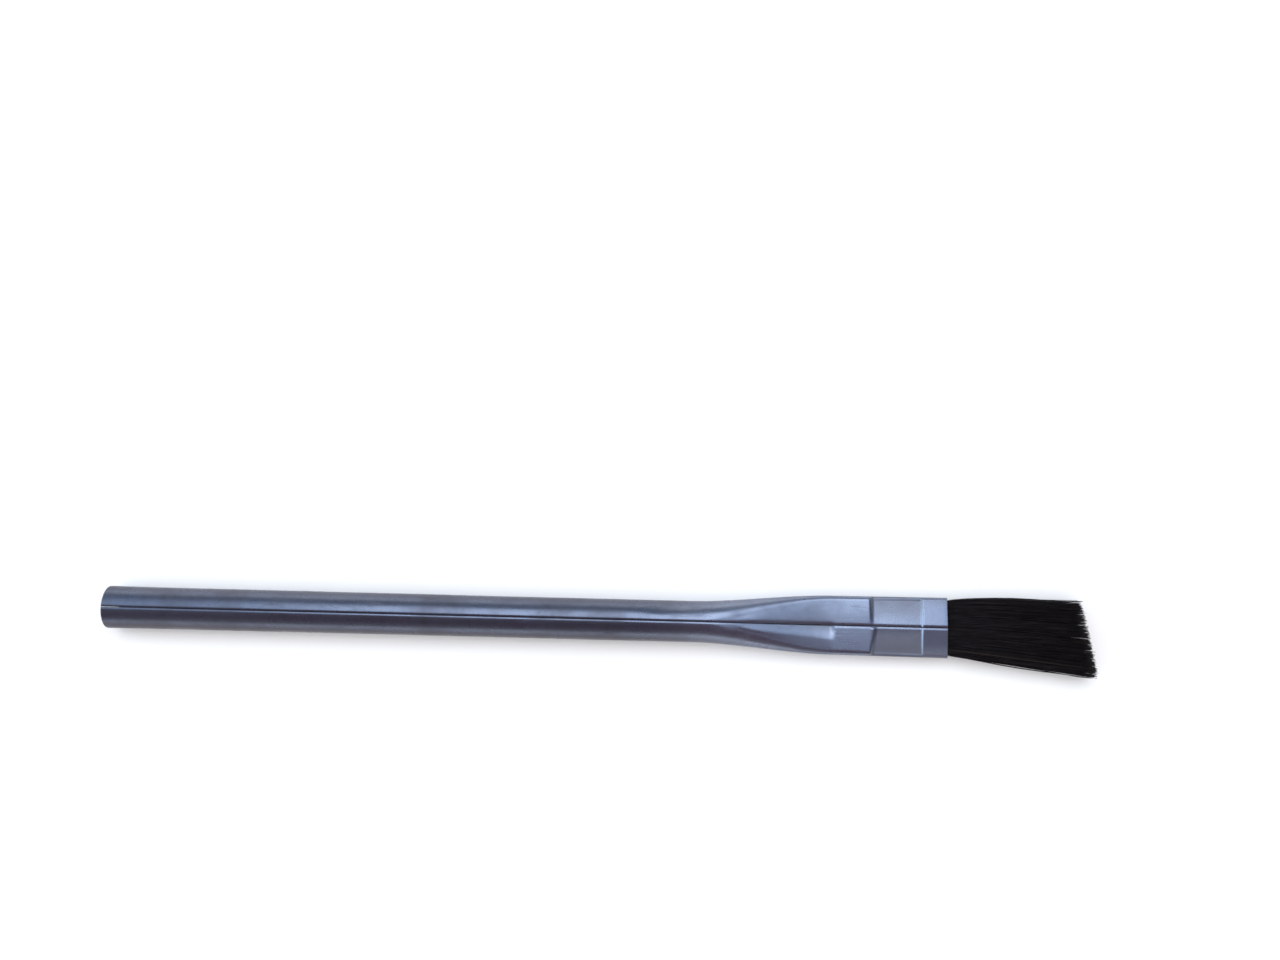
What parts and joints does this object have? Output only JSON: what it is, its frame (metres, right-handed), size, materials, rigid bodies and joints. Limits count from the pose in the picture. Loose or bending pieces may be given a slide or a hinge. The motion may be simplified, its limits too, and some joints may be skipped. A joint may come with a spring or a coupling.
{
  "type": "acid brush",
  "caption": "Throwaway acid brush: a rolled tinplate tube handle, open at the back, pressed flat and crimped at the front over a tuft of black horsehair.",
  "frame": {"origin": "centre of the handle's open rear end, on the tube's axis", "axes": "+X along the handle towards the bristles' tips; the pressed flat of the ferrule lies across +Z, and the tube's seam is on the +Z side; +Y is across the flat"},
  "size_m": [0.1524, 0.0117, 0.0064],
  "materials": {
    "tinplate": "satin tin plate with faint mottling and rubbed marks",
    "horsehair": "coarse black hair with a faint cold sheen"
  },
  "bodies": {
    "handle": {"handle_tube": "tinplate", "bristle_roots": "horsehair"},
    "bristles": {"bristle_lock_01": "horsehair", "bristle_lock_02": "horsehair", "bristle_lock_03": "horsehair", "bristle_lock_04": "horsehair", "bristle_lock_05": "horsehair", "bristle_lock_06": "horsehair", "bristle_lock_07": "horsehair", "bristle_lock_08": "horsehair", "bristle_lock_09": "horsehair", "bristle_lock_10": "horsehair", "bristle_lock_11": "horsehair", "bristle_lock_12": "horsehair"}
  },
  "joints": [
    {"name": "bristle_flex", "type": "hinge", "parent": "handle", "child": "bristles", "pos_m": [0.1299, 0, 0], "axis": [0, 1, 0], "range_deg": [-45, 45], "stiffness_Nm_per_rad": 0.008}
  ]
}
